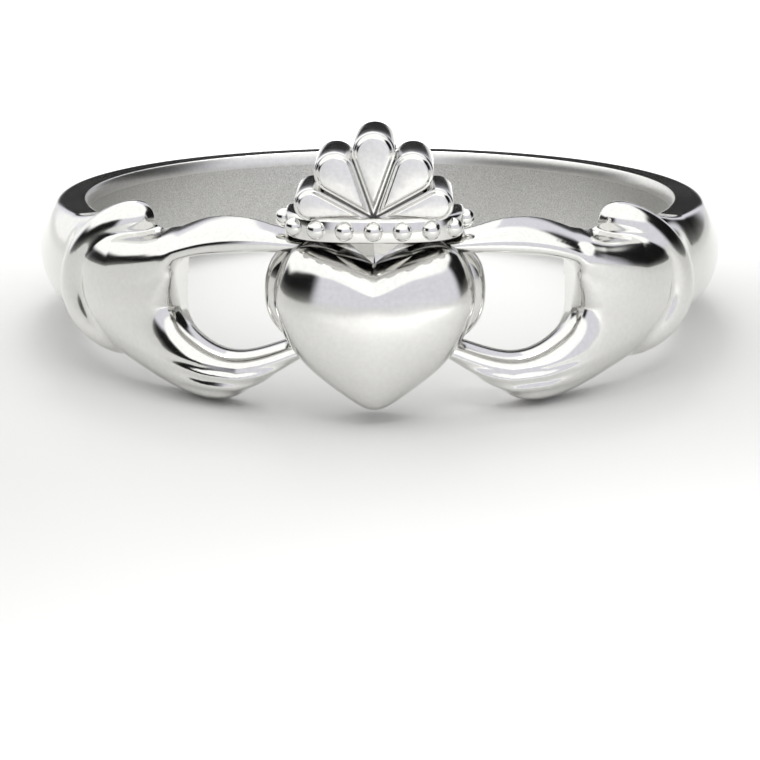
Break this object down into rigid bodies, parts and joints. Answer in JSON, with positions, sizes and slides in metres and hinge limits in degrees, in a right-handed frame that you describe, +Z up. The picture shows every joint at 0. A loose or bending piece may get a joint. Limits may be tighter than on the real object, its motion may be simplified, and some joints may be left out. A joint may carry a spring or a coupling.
{
  "type": "claddagh ring",
  "caption": "Claddagh finger ring: two cuffed hands hold a puffed heart under a petalled crown with a beaded base, cast in one piece and polished.",
  "frame": {"origin": "middle of the ring's footprint box, on the surface that it lies on", "axes": "+Z up, -Y towards the heart and crown, +Y towards the back of the shank, X across the hands; the finger axis leans 4.86 degrees back from +Z towards +Y"},
  "size_m": [0.0202, 0.0216, 0.0079],
  "materials": {
    "silver": "polished sterling silver"
  },
  "bodies": {
    "root": {"ring": "silver"}
  },
  "joints": []
}
